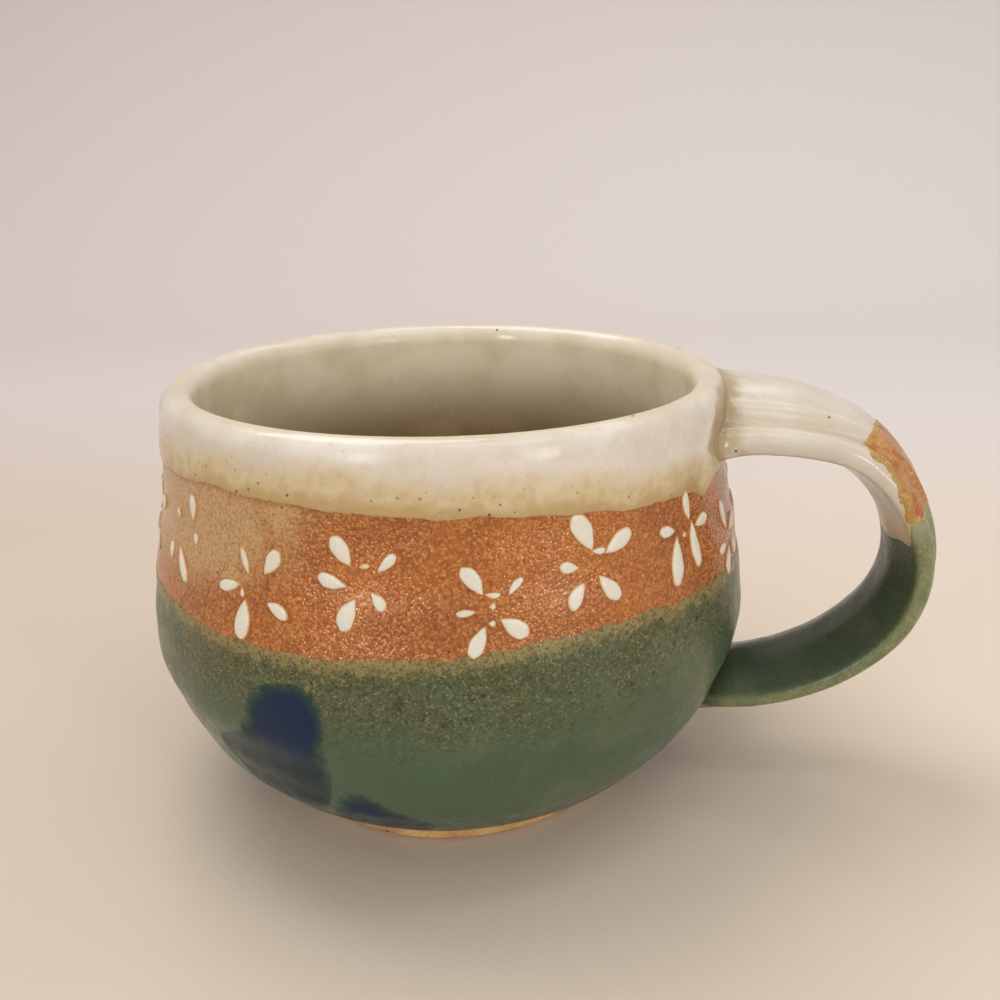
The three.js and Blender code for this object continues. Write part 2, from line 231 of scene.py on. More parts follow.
def sheet_faces(index, wrap_rows):
    """Quads over a grid of point numbers, closed round its columns; poles become triangles."""
    rows, columns = index.shape
    faces = []
    for i in range(rows if wrap_rows else rows - 1):
        low, high = index[i], index[(i + 1) % rows]
        for j in range(columns):
            k = (j + 1) % columns
            loop = [low[j], low[k], high[k], high[j]]
            face = [v for n, v in enumerate(loop) if v != loop[n - 1]]
            if len(face) > 2:
                faces.append([int(v) for v in face])
    return faces


def grid_mesh(grid, values, wrap_rows):
    """Points, faces, numbers and point places of a grid. A row all at one point is a pole."""
    rows, columns = grid.shape[:2]
    index = np.empty((rows, columns), int)
    points, picks = [], []
    for i in range(rows):
        pole = np.ptp(grid[i], axis=0).max() < 1e-9
        if pole:
            index[i] = len(points)
            points.append(grid[i, 0])
            picks.append((i, 0))
        else:
            index[i] = len(points) + np.arange(columns)
            points.extend(grid[i])
            picks.extend((i, j) for j in range(columns))
    where = tuple(np.array(picks).T)
    numbers = {key: np.broadcast_to(v, (rows, columns))[where] for key, v in values.items()}
    return points, outwards(points, sheet_faces(index, wrap_rows)), numbers, index


def grid_piece(name, grid, values=None, wrap_rows=False, sharp_rows=()):
    """A closed piece from a grid of points, with creases along some rows."""
    points, faces, numbers, index = grid_mesh(grid, values or {}, wrap_rows)
    sharp = [edge for i in sharp_rows for edge in zip(index[i], np.roll(index[i], -1))]
    return build(name, points, faces, numbers, sharp)


def rounded(distance, width):
    """Rises from 0 at an edge to 1 a width away, as a quarter circle does."""
    x = unit(1 - distance / width)
    return np.sqrt(1 - x**2)


def eased(count, power=1.7):
    """Numbers from 0 to 1 that crowd towards both ends."""
    t = np.linspace(-1, 1, count)
    return (np.sign(t) * (1 - (1 - abs(t)) ** power) + 1) / 2


TURNS = 288


def circle(count=TURNS):
    return np.arange(count) * 2 * math.pi / count


def bowl_shell(name, start, end, outer, over_slip, rows, values):
    """A coat round the bowl between two lines, given as distances walked at each angle.

    It lies on the slip, and so is thin, within a little of its low or high edge.
    """
    angles = circle()[None, :]
    low, high = start(angles), end(angles)
    s = low + (high - low) * eased(rows)[:, None]
    face = on_bowl(s, angles, outer(s - low, high - s))
    back_s = low + (high - low) * np.linspace(1, 0, 12)[:, None]
    to_edge = {"low": back_s - low, "high": high - back_s}.get(over_slip, math.inf)
    back = on_bowl(back_s, angles, np.where(to_edge < SLIP_OVERLAP, SLIP_FACE, -COAT))
    both = np.vstack([s, back_s])
    numbers = values(both, both - low, high - both, np.broadcast_to(angles, both.shape))
    return grid_piece(name, np.concatenate([face, back]), numbers, True, (0, rows - 1))


# ------------------------ the bowl and its coats
def clay_bowl():
    inner = FOOT_RADIUS - FOOT_WIDTH
    foot = catmull_rom(
        [
            (0, FOOT_RECESS),
            (inner - 3, FOOT_RECESS - 0.1),
            (inner - 0.8, FOOT_RECESS - 0.5),
            (inner, 0.7),
            (inner + 0.9, 0.02),
            (FOOT_RADIUS - 1.0, 0.0),
            (FOOT_RADIUS - 0.1, 0.55),
            (FOOT_RADIUS - 0.1, 1.8),
        ],
        8,
    )
    foot = np.maximum(foot, 0)
    angles = circle(180)[None, :]
    wobble = waver(angles, 31, 0.09, range(2, 14)) * unit((foot[:, :1] - 20) / 8)
    r = np.maximum(foot[:, :1] + wobble, 0)
    r = np.where(foot[:, :1] < 1e-6, 0, r)
    lift = waver(angles, 32, 0.03, range(3, 30)) ** 2 * 30
    lift = np.minimum(lift, 0.12) * unit(r / 20)
    z = foot[:, 1:] + lift * (foot[:, 1:] > 0.1)
    base = np.stack([AXIS + r * np.cos(angles), r * np.sin(angles), z + 0 * angles], -1)
    up = np.linspace(0.4, SKIN.crest, 70)
    down = np.linspace(SKIN.crest, SKIN.s[-1], 60)[1:]
    s = np.concatenate([up, down])
    wall = on_bowl(s[:, None], angles, -CLAY_DEPTH)
    wall[-1] = wall[-1].mean(axis=0)
    return grid_piece("clay_bowl", np.concatenate([base, wall]))


def edge_bead(distance, height, width):
    """The rolled edge of a poured glaze: round at its very edge, then level."""
    return height * rounded(distance, width)


EDGE_DEPTH = 0.16  # a glaze edge starts this far below the outer skin, just under the slip
RIM_LEVEL = -0.02  # how far the finished coats lie from the outer skin
GREEN_LEVEL = -0.04
STRAP_GREEN_LEVEL = GREEN_LEVEL + 0.03
SLIP_LEVEL = -0.14
SLIP_OVERLAP = 2.2  # how far a glaze reaches over the slip
SLIP_FACE = -0.2  # how deep its underside lies there
SEAM_INSIDE = SKIN.inside(61)  # where the rim's white ends and the liner starts


def rim_glaze():
    def outer(from_low, from_high):
        return -EDGE_DEPTH + edge_bead(from_low, EDGE_DEPTH + RIM_LEVEL, 0.55)

    def values(s, from_low, from_high, angles):
        return {
            "from_edge": from_low,
            "past_crest": s - SKIN.crest,
            "at_joint": near_joint(s, angles),
        }

    end = lambda angles: SEAM_INSIDE + 0 * angles
    return bowl_shell("glaze_rim", rim_edge, end, outer, "low", 60, values)


def near_joint(s, angles):
    """1 where the strap's upper joint pulls the glaze thin on the wall, fading out round it."""
    degrees = from_handle(angles)
    z = SKIN.at(s)[1]
    width = np.interp(z, [58, 62, 65, 68, 71], [16.0, 20.5, 22, 20.5, 16])
    width = width + waver(angles, 71, 0.5, range(20, 60))
    below = unit((z - 58.5) / 3) * unit((SKIN.crest - 0.5 - s) / 3.5)
    return unit((width + 2 - np.abs(degrees)) / 4) * below


def tan_clouds(s, angles):
    """Where the slip lies pale over the clay: the large cloud at the left and two at the back."""
    degrees = from_handle(angles)
    z = SKIN.at(s)[1]
    total = np.full(np.shape(z + degrees), -9.0)
    for place, height, wide, tall in ((-134, 63, 35, 15), (48, 62, 20, 8), (148, 45, 24, 9)):
        away = (degrees - place + 180) % 360 - 180
        total = np.maximum(total, 1 - (away / wide) ** 2 - ((z - height) / tall) ** 2)
    return total


def slip_band():
    def values(s, from_low, from_high, angles):
        return {
            "to_rim": rim_edge(angles) - s,
            "to_green": s - green_edge(angles),
            "pale": tan_clouds(s, angles),
        }

    start = lambda angles: green_edge(angles) - 2
    end = lambda angles: rim_edge(angles) + 2
    level = lambda from_low, from_high: SLIP_LEVEL
    return bowl_shell("slip_band", start, end, level, None, 40, values)


def foot_edge(angles):
    """Where the green glaze stops above the foot."""
    return 0.9 + waver(angles, 41, 0.35, range(2, 26)) + waver(angles, 42, 0.12, range(40, 90, 2))


def tail_crease_shade(s, angles):
    """1 in the crease where the strap's tail joins the wall, fading out round it; the green is
    painted dark there as shade.
    """
    degrees = from_handle(angles)
    away = np.hypot(degrees / 13.5, (SKIN.at(s)[1] - 14.5) / 8.0)
    return unit((1.3 - away) / 0.3)


def green_glaze():
    def outer(from_low, from_high):
        pool = 0.1 * np.exp(-from_low / 3)
        top = -EDGE_DEPTH + edge_bead(from_high, EDGE_DEPTH + GREEN_LEVEL, 0.5)
        return np.minimum(top + pool, edge_bead(from_low, 0.45, 0.7) - 0.3 + pool)

    def values(s, from_low, from_high, angles):
        return {"from_edge": from_high, "from_foot": from_low, "at_joint": tail_crease_shade(s, angles)}

    return bowl_shell("glaze_green", foot_edge, green_edge, outer, "high", 70, values)


def liner_glaze():
    angles = circle()[None, :]
    s = np.linspace(SEAM_INSIDE, SKIN.s[-1], 60)[:, None]
    face = on_bowl(s, angles, RIM_LEVEL)
    back = on_bowl(s[::-3], angles, -COAT)
    face[-1] = face[-1].mean(axis=0)
    back[0] = back[0].mean(axis=0)
    walked = np.concatenate([s, s[::-3]]) + 0 * angles
    numbers = {"past_crest": walked - SKIN.crest, "from_edge": 40.0}
    return grid_piece("glaze_liner", np.concatenate([face, back]), numbers, True, (0,))


# ------------------------ the strap
HANDLE_LINE = [
    (44, 66.2), (60.1, 65.2), (70.7, 61.4), (77.6, 53.2), (80.5, 42.4), (78, 32.6), (70.8, 24.5),
    (60.7, 18.8), (39, 13.8),
]
STRAP_WIDTHS = (26.2, 16.7)  # at the lip and at the tail
STRAP_CORNER = 0.5  # the power that rounds the section's corners
# How far the back and the inner face lie from the strap's middle, from -1, its edge towards
# the viewer, to 1. High up there is a pulled ridge along the near edge and a hollow beside it;
# lower down the back is a plain crown.
STRAP_BACK = [
    (-1.0, 3.1), (-0.87, 3.5), (-0.74, 3.25), (-0.57, 2.35), (-0.42, 2.95), (-0.29, 3.95),
    (-0.18, 4.05), (0.0, 3.95), (0.28, 4.1), (0.55, 3.6), (0.8, 2.9), (1.0, 2.1),
]
STRAP_BACK_LOW = [(-1, 2.0), (-0.8, 2.7), (-0.4, 4.0), (0, 4.5), (0.4, 4.0), (0.8, 2.7), (1, 1.9)]
STRAP_INSIDE = [
    (-1, 1.0), (-0.75, 2.0), (-0.35, 3.6), (0, 3.95), (0.35, 3.9), (0.75, 2.7), (1, 1.4),
]
RIDGE_FADE = ([0.22, 0.5, 0.65, 0.9], [1.0, 0.5, 0.4, 0.0])  # along the strap, share of the ridge
STRAP_TWIST = (19.5, 1.2, -5.5)  # degrees at the top, the middle and the end
UPPER_JOINT = 3 / 32  # where the fillets on to the wall start, as shares of the middle line
LOWER_JOINT = 29 / 32
STRAP_LENGTH = 130  # of the middle line, to turn shares of it into mm
FILLET_ROOT = -0.55  # how deep in the wall a fillet starts
STRAP_PULL = 1.25  # how strongly a fillet keeps the strap's direction, and the wall's
WALL_PULL = 0.45


def centripetal(points, samples=40):
    """A centripetal Catmull-Rom curve through the points, samples to each span."""
    p = np.array(points, float)
    p = np.vstack([2 * p[:1] - p[1:2], p, 2 * p[-1:] - p[-2:-1]])
    t = np.linspace(0, 1, samples, endpoint=False)[:, None]
    spans = []
    for a, b, c, d in zip(p[:-3], p[1:-2], p[2:-1], p[3:]):
        da, db, dc = (math.sqrt(np.linalg.norm(q)) for q in (b - a, c - b, d - c))
        t1 = ((b - a) / da - (c - a) / (da + db) + (c - b) / db) * db
        t2 = ((c - b) / db - (d - b) / (db + dc) + (d - c) / dc) * db
        spans.append(cubic(b, c, t1, t2, t))
    return np.vstack(spans + [p[-2:-1]])


STRAP_LINE = centripetal(HANDLE_LINE)
STRAP_U = np.linspace(0, 1, len(STRAP_LINE))
STRAP_SLOPE = np.gradient(STRAP_LINE, axis=0)


def strap_axes(u):
    """The strap's middle, the way it runs, its sideways and its outward directions."""
    x, z = (np.interp(u, STRAP_U, STRAP_LINE[:, i]) for i in (0, 1))
    dx, dz = (np.interp(u, STRAP_U, STRAP_SLOPE[:, i]) for i in (0, 1))
    size = np.hypot(dx, dz)
    zero = np.zeros_like(x)
    along = np.stack([dx / size, zero, dz / size], -1)
    out = np.stack([-dz / size, zero, dx / size], -1)
    side = np.stack([zero, zero + 1, zero], -1)
    top, middle, end = STRAP_TWIST
    turn = np.radians(
        top * (1 - u) * (1 - 2 * u) + 4 * middle * u * (1 - u) + end * u * (2 * u - 1)
    )[..., None]
    across = side * np.cos(turn) + out * np.sin(turn)
    outwards = out * np.cos(turn) - side * np.sin(turn)
    return np.stack([AXIS + x, zero, z], -1), along, across, outwards


def squared(value):
    return np.sign(value) * np.abs(value) ** STRAP_CORNER


BACK_LINE = catmull_rom(STRAP_BACK)
BACK_LINE_LOW = catmull_rom(STRAP_BACK_LOW)
INSIDE_LINE = catmull_rom(STRAP_INSIDE)


def section(u, angle, margin=0.0):
    """The strap's outline as distances across and outwards."""
    half = (STRAP_WIDTHS[0] + (STRAP_WIDTHS[1] - STRAP_WIDTHS[0]) * u) / 2
    across = squared(np.cos(angle))
    out = squared(np.sin(angle))
    ridge = np.interp(u, *RIDGE_FADE)
    back = ridge * np.interp(across, *BACK_LINE.T)
    back = back + (1 - ridge) * np.interp(across, *BACK_LINE_LOW.T)
    inside = np.interp(across, *INSIDE_LINE.T)
    return across * (half + margin), out * (np.where(out > 0, back, inside) + margin)


def on_strap(u, angle, margin=0.0):
    u, angle, margin = np.broadcast_arrays(u, angle, margin)
    centre, _, across, outwards = strap_axes(u)
    a, b = section(u, angle, margin)
    return centre + across * a[..., None] + outwards * b[..., None]


SECTION_POINTS = 96
DENSE = np.linspace(0, 2 * math.pi, 2001)
DENSE_WALK = np.stack(section(0.5, DENSE), -1)
DENSE_WALK = np.linalg.norm(np.diff(DENSE_WALK, axis=0), axis=1)
DENSE_WALK = np.concatenate([[0], np.cumsum(DENSE_WALK)])
EVENLY = np.arange(SECTION_POINTS) / SECTION_POINTS * DENSE_WALK[-1]
SECTION = np.interp(EVENLY, DENSE_WALK, DENSE)[None, :]  # angles evenly spaced along the outline


def round_strap(distance):
    """The angle this many mm round the section from the middle of its back, near edge first."""
    middle = np.interp(math.pi / 2, DENSE, DENSE_WALK)
    return np.interp(middle + distance, DENSE_WALK, DENSE)


def facing_in(angle):
    """1 on the strap's inner face, towards the fingers, and 0 on its edges and back."""
    x = unit((-squared(np.sin(angle)) - 0.1) / 0.8)
    return x * x * (3 - 2 * x)


def hollow_tan_and_shade(angle):
    """1 down in the hollow between the strap's two ridges, laid greyish tan there: partly thin
    glaze, partly painted shade.
    """
    across = squared(np.cos(angle))
    return np.exp(-(((across + 0.58) / 0.17) ** 2)) * (np.sin(angle) > 0)


def white_end(angle):
    """Where the white glaze ends along the strap, later on its inner face."""
    start, later = 0.406, 0.046
    return start + later * facing_in(angle) + waver(angle, 52, 0.003, range(2, 9))


def green_start(angle):
    """Where the green glaze starts, just under the end of the white."""
    return white_end(angle) - 0.004


def strap_shell(name, start, end, outer, rows, values):
    """A coat round the strap between two lines, given as places along it at each angle."""
    low, high = start(SECTION), end(SECTION)
    t = eased(rows, 1.4)[:, None]
    u = low + (high - low) * t
    back_u = low + (high - low) * np.linspace(1, 0, 14)[:, None]
    face = on_strap(u, SECTION, outer(u, low, high))
    back = on_strap(back_u, SECTION, -COAT)
    both = np.vstack([u, back_u])
    numbers = values(both, low, high, np.broadcast_to(SECTION, both.shape))
    return grid_piece(name, np.concatenate([face, back]), numbers, True, (0, rows - 1))


def clay_strap():
    u = np.linspace(0.05, 0.92, 70)[:, None]
    grid = on_strap(u, SECTION, -CLAY_DEPTH)
    near, far = (end.mean(axis=1, keepdims=True) + 0 * end for end in (grid[:1], grid[-1:]))
    return grid_piece("clay_strap", np.concatenate([near, grid, far]))


def strap_white():
    def outer(u, low, high):
        return -EDGE_DEPTH + edge_bead((high - u) * STRAP_LENGTH, EDGE_DEPTH + RIM_LEVEL, 1.2)

    def values(u, low, high, angle):
        return {
            "from_edge": (high - u) * STRAP_LENGTH,
            "past_crest": 0 * u - 20,
            "strap": 1.0,
            "hollow": hollow_tan_and_shade(angle),
        }

    start = lambda angle: UPPER_JOINT + 0 * angle
    return strap_shell("strap_white", start, white_end, outer, 70, values)


def strap_green():
    def outer(u, low, high):
        height = EDGE_DEPTH + STRAP_GREEN_LEVEL
        return -EDGE_DEPTH + edge_bead((u - low) * STRAP_LENGTH, height, 0.9)

    def values(u, low, high, angle):
        return {"from_edge": (u - low) * STRAP_LENGTH, "inner": facing_in(angle)}

    end = lambda angle: LOWER_JOINT + 0 * angle
    return strap_shell("strap_green", green_start, end, outer, 80, values)


# The bare rust patch on the strap's back: mm round the section from its middle, towards the
# near edge first, and places along the strap from 0 to 1.
PATCH = [
    (3.0, 0.246), (-2.0, 0.256), (-6.0, 0.268), (-9.5, 0.295), (-11.0, 0.335), (-11.0, 0.380),
    (-8.0, 0.404), (0.0, 0.408), (6.0, 0.408), (10.5, 0.405), (13.0, 0.395), (12.2, 0.355),
    (11.4, 0.315), (10.2, 0.280), (10.4, 0.250), (7.5, 0.236),
]
PATCH_MIDDLE = (1.0, 0.33)
PATCH_REACH = 14  # about how many mm its edge lies from its middle
PATCH_PLAIN = 0.4  # past this place it meets the green, with a smoother edge


def closed_curve(points, samples):
    """A smooth closed line through the points."""
    ring = catmull_rom(points[-1:] + points + points[:2], samples)
    return ring[samples : samples * (len(points) + 1)]


def strap_patch():
    ring = closed_curve(PATCH, 12)
    turn = circle(len(ring))
    middle = np.array(PATCH_MIDDLE)
    ragged = 1 + waver(turn, 61, 0.016, range(6, 30)) + waver(turn, 62, 0.005, range(40, 80, 2))
    ragged = 1 + (ragged - 1) * np.where(ring[:, 1] > PATCH_PLAIN, 0.1, 1)
    ring = middle + (ring - middle) * ragged[:, None]
    share = np.concatenate([[0], np.linspace(0.08, 0.9, 22), [0.93, 0.955, 0.975, 0.99, 1.0]])
    flat = middle + (ring - middle) * share[:, None, None]
    angle = round_strap(flat[..., 0])
    depth = (1 - share)[:, None] + 0 * flat[..., 0]
    rise = rounded(depth * PATCH_REACH, 0.8)
    lumps = waver(turn, 63, 0.02, range(5, 40)) * unit(share * 1.4)[:, None]
    top = on_strap(flat[..., 1], angle, -0.2 + (0.3 + lumps) * rise)
    under = on_strap(flat[::-4, :, 1], angle[::-4], -COAT + 0.02)
    top[0] = top[0].mean(axis=0)
    under[-1] = under[-1].mean(axis=0)
    values = {"inward": np.concatenate([depth, depth[::-4]]) * PATCH_REACH}
    return grid_piece("strap_patch", np.concatenate([top, under]), values, False, (len(share) - 1,))


def nearest_on_wall(r, z, low_s, high_s):
    """The distances walked at which the bowl's outline comes nearest to the points."""
    pick = (SKIN.s > low_s) & (SKIN.s < high_s)
    s, sr, sz = SKIN.s[pick], SKIN.r[pick], SKIN.z[pick]
    gap = (r[..., None] - sr) ** 2 + (z[..., None] - sz) ** 2
    return s[np.argmin(gap, axis=-1)]


def joint(name, free_u, wall_u, level, flare, lift, drop, limits, values):
    """The clay worked from the strap's end on to the wall, as one smooth fillet.

    On the wall it spreads by the flare sideways, the lift both ways and the drop downwards,
    in mm, within limits of the distance walked up the wall.
    """
    start = on_strap(free_u, SECTION, level)[0]
    _, along, _, _ = strap_axes(np.array(free_u))
    way = along * (1 if wall_u > free_u else -1)
    centre, _, across, outwards = strap_axes(np.array(wall_u))
    a, b = section(wall_u, SECTION[0], 0.0)
    wide = a * (1 + 2 * flare / np.ptp(a))
    tall = b * (1 + 2 * lift / np.ptp(b)) + drop * unit(b / 2)
    ring = centre + across * wide[:, None] + outwards * tall[:, None]
    r = np.hypot(ring[:, 0] - AXIS, ring[:, 1])
    turn = np.arctan2(ring[:, 1], ring[:, 0] - AXIS)
    s = nearest_on_wall(r, ring[:, 2], *limits)
    for _ in range(3):
        s = (np.roll(s, 1) + 2 * s + np.roll(s, -1)) / 4
    foot = on_bowl(s, turn, level)
    middle = foot.mean(axis=0)
    reach = np.linalg.norm(foot - start, axis=1)[:, None]
    outward = foot - middle
    normal = on_bowl(s, turn, 1 + level) - foot
    outward -= normal * (outward * normal).sum(axis=1, keepdims=True)
    outward /= np.linalg.norm(outward, axis=1)[:, None]
    t = np.linspace(0, 1, 30)[:, None, None]
    skin = cubic(start, foot, way * reach * STRAP_PULL, outward * reach * WALL_PULL, t)
    sunk = on_bowl(s, turn, FILLET_ROOT)[None]
    root = on_strap(np.linspace(wall_u, free_u, 8)[:, None], SECTION, -COAT)
    grid = np.concatenate([skin, sunk, root])
    walked = np.concatenate([t[:, 0, :] + 0 * s, np.ones((1, len(s))), np.zeros((8, len(s)))])
    return grid_piece(name, grid, values(walked), True, (0,))


def joint_upper():
    def values(t):
        angle = SECTION + 0 * t
        at_end = (white_end(angle) - UPPER_JOINT) * STRAP_LENGTH
        return {
            "from_edge": at_end,
            "past_crest": 0 * t - 20,
            "at_joint": t**2,
            "strap": 1.0,
            "hollow": hollow_tan_and_shade(angle),
        }

    limits = (SKIN.outside(50), SKIN.crest - 0.6)
    return joint("joint_upper", UPPER_JOINT, 0.03, RIM_LEVEL, 2.2, 0.8, 0.4, limits, values)


def joint_lower():
    def values(t):
        angle = SECTION + 0 * t
        at_end = (LOWER_JOINT - green_start(angle)) * STRAP_LENGTH
        return {"from_edge": at_end, "inner": facing_in(angle) * (1 - t), "at_joint": t}

    limits, level = (SKIN.outside(4), SKIN.outside(34)), STRAP_GREEN_LEVEL
    return joint("joint_lower", LOWER_JOINT, 0.955, level, 1.8, 1.2, 5.0, limits, values)


# ------------------------ brushed decoration
# Each flower's dabs of slip, in mm from its middle: the pointed end's x and y, the round
# end's x and y, the width, and how thick the slip lies from 0 to 1.
FLOWERS = [
    [
        (3.2, 3.2, 2.9, 7.4, 1.6, 0.9), (-1.8, 2.3, -2.7, 3.9, 1.2, 0.5),
        (3.9, -0.4, 3.6, 1.6, 1.2, 0.5), (-3.8, -4.6, -4.7, -1.8, 1.4, 0.7),
        (-1.4, -1.8, 2.2, -6.6, 1.7, 0.9),
    ],
    [
        (-1.0, 0.8, -2.7, 4.6, 1.1, 0.5), (1.7, 1.4, 4.3, 5.3, 2.1, 0.9),
        (-2.4, -0.7, -7.0, -1.8, 1.5, 0.8), (-1.3, -2.4, -2.0, -8.5, 2.5, 1.0),
        (2.6, -2.2, 6.4, -4.0, 1.6, 0.9), (-2.1, -1.0, -1.8, -2.4, 0.7, 0.4),
    ],
    [
        (-1.6, 2.0, -4.4, 6.3, 2.2, 1.0), (-2.3, -0.7, -6.7, 0.4, 1.8, 0.9),
        (-1.0, -2.1, -3.1, -6.8, 2.3, 1.0), (1.1, -1.1, 3.1, -3.7, 1.5, 0.7),
        (2.0, 1.4, 4.6, 4.2, 1.3, 0.9), (-0.6, 2.1, 1.0, 2.4, 0.7, 0.3),
    ],
    [
        (-1.1, 1.5, -4.0, 5.6, 2.0, 1.0), (-1.1, 1.7, 1.3, 1.5, 0.8, 0.5),
        (2.2, 1.2, 4.4, 3.6, 1.0, 0.6), (-2.0, -0.5, -5.1, -0.7, 0.9, 0.5),
        (-1.0, -2.4, -3.2, -6.9, 1.9, 1.0), (0.9, -1.7, 4.9, -4.5, 2.2, 0.9),
        (-0.5, 0.0, 0.5, 0.1, 0.8, 0.3), (-0.7, -2.2, 0.4, -2.3, 0.8, 0.4),
    ],
    [
        (-0.3, 1.7, -3.2, 7.4, 2.7, 1.0), (1.5, 1.0, 6.4, 3.5, 2.3, 1.0),
        (-0.6, 1.8, 1.8, 1.6, 0.9, 0.8), (-2.5, -0.2, -5.7, 0.3, 1.5, 0.7),
        (-1.9, -2.2, -4.5, -5.9, 1.9, 0.9), (0.3, -1.7, 3.5, -5.9, 2.1, 0.9),
    ],
    [
        (0.9, 1.7, 0.3, 6.5, 1.5, 0.8), (2.4, 0.4, 6.6, 1.0, 1.7, 0.8),
        (-2.9, 1.2, -6.5, 1.9, 1.6, 0.8), (-2.5, 0.4, -4.1, -7.1, 2.4, 1.0),
        (1.6, 1.6, 2.3, -5.9, 2.0, 1.0), (-1.2, 0.0, -0.4, 0.0, 0.8, 0.4),
    ],
    [
        (-1.0, 0.7, -2.5, 6.3, 1.8, 0.9), (0.2, 0.3, 6.3, 1.4, 1.7, 0.9),
        (-2.5, -1.0, -6.0, -1.3, 1.4, 0.7), (-0.6, -1.8, -2.8, -6.2, 1.8, 0.9),
        (1.2, -1.4, 4.0, -4.8, 1.9, 0.8),
    ],
]
FLOWER_PLACES = [-131.8, -111.3, -91.3, -71.2, -53.6, -32.1, -14.1]  # degrees from the handle
FLOWER_HEIGHTS = [54.0, 51.5, 53.7, 50.3, 54.1, 53.8, 48.8]
FLOWER_COUNT = 18
BACK_HEIGHT = 52.4  # of the flowers behind, which swing this far up and down
BACK_SWING = 1.8
DAB_RINGS = 8
DAB_POINTS = 30
FULLNESS = 1.2  # the brush leaves the dabs this much wider than their listed width
WIDEST = 0.62  # how far along a dab its widest place is
DAB_ROOT = -0.32  # its underside, under the slip band's face
DAB_EDGE = -0.16
DAB_RISE = 0.42  # of the thickest dabs


def dab(degrees, height, mark, rng):
    """One closed dab of slip on the wall: a grid of points, its rise and its thickness."""
    tip, end = np.array(mark[:2]), np.array(mark[2:4])
    width, thick = mark[4:]
    axis = end - tip
    length = np.linalg.norm(axis)
    axis /= length
    across = np.array([-axis[1], axis[0]])
    turn = np.arange(DAB_POINTS) * 2 * math.pi / DAB_POINTS
    t = (1 - np.cos(turn)) / 2
    to_end = np.sqrt(unit(1 - (np.maximum(t - WIDEST, 0) / (1 - WIDEST)) ** 2))
    from_tip = np.sin(math.pi / 2 * unit(t / WIDEST)) ** 0.85
    half = FULLNESS * width / 2 * np.where(t > WIDEST, to_end, from_tip)
    side = np.sign(np.sin(turn)) * half
    bend = 0.04 * length * np.clip(rng.normal(), -1, 1) * np.sin(math.pi * t)
    shake = 1 + 0.025 * sum(
        np.clip(rng.normal(), -1, 1) * np.cos(k * turn + rng.uniform(0, 6.3)) for k in (2, 3, 7)
    )
    outline = (
        tip
        + axis * (length * (0.5 + (t - 0.5) * shake))[:, None]
        + across * (side * shake + bend)[:, None]
    )
    heart = tip + axis * length * 0.6
    rows, rise = [], []
    for k in range(DAB_RINGS, -1, -1):
        share = (k / DAB_RINGS) ** 0.8
        rows.append(heart + (outline - heart) * share)
        rise.append(np.full(DAB_POINTS, math.sqrt(max(1 - share**3.2, 0))))
    flat = np.concatenate([rows[0][None], np.array(rows)])
    rise = np.concatenate([[np.zeros(DAB_POINTS)], rise])
    domed = DAB_EDGE + DAB_RISE * (0.45 + 0.55 * thick) * rise[1:]
    level = np.concatenate([[np.full(DAB_POINTS, DAB_ROOT)], domed])
    s = SKIN.outside(height + flat[..., 1])
    angles = math.radians(degrees) + flat[..., 0] / SKIN.at(s)[0]
    grid = on_bowl(s, angles, level)
    root = grid[:1].mean(axis=1, keepdims=True) + 0 * grid[:1]
    return np.concatenate([root, grid]), np.concatenate([rise[:1], rise]), thick


def flower(number, degrees, height, marks, seed):
    rng = np.random.default_rng(seed)
    points, faces, values = [], [], {"rise": [], "slip": []}
    for mark in marks:
        grid, rise, thick = dab(degrees, height, mark, rng)
        some, sides, numbers, _ = grid_mesh(grid, {"rise": rise, "slip": thick}, False)
        faces.extend([[v + len(points) for v in face] for face in sides])
        points.extend(some)
        for key in values:
            values[key].extend(numbers[key])
    return build(f"flower_dabs_{number:02d}", points, faces, values)


def make_flowers():
    step = (FLOWER_PLACES[0] + 360 - FLOWER_PLACES[-1]) / (FLOWER_COUNT - len(FLOWERS) + 1)
    made = []
    for i in range(FLOWER_COUNT):
        if i < len(FLOWERS):
            degrees, height, marks = FLOWER_PLACES[i], FLOWER_HEIGHTS[i], FLOWERS[i]
        else:
            back = i - len(FLOWERS)
            rng = np.random.default_rng(600 + i)
            degrees = FLOWER_PLACES[-1] + step * (back + 1)
            height = BACK_HEIGHT + BACK_SWING * math.sin(2.1 * back)
            turn = math.radians(float(rng.uniform(-25, 25)))
            mirror = -1 if back % 2 else 1
            spin = np.array([[math.cos(turn), -math.sin(turn)], [math.sin(turn), math.cos(turn)]])
            marks = []
            for mark in FLOWERS[1 + (2 * back) % 5]:
                ends = [spin @ (np.array(p) * (mirror, 1)) for p in (mark[:2], mark[2:4])]
                marks.append((*ends[0], *ends[1], *mark[4:]))
        piece = flower(i + 1, degrees, height, marks, 300 + i)
        made.append((piece, f"flower_{i + 1:02d}"))
    return made


# The blots' outlines, in mm from a place on the wall.
LARGE_BLOT = [
    (1.5, 11.6), (-3.5, 10.4), (-6.6, 7.6), (-8.0, 3.5), (-11.5, -0.5), (-17.5, -4.5),
    (-16.5, -9.5), (-12.0, -14.5), (-6.0, -17.0), (1.0, -16.0), (5.5, -10.0), (7.4, -3.0),
    (8.0, 4.0), (7.4, 9.3), (5.0, 11.4),
]
SMALL_BLOT = [
    (-5.0, 5.2), (-1.6, 7.2), (1.2, 5.4), (2.2, 3.6), (4.4, 2.4), (7.0, 0.2), (9.0, -2.5),
    (8.0, -5.5), (2.0, -7.8), (-4.0, -7.6), (-9.0, -6.4), (-8.0, -1.0),
]


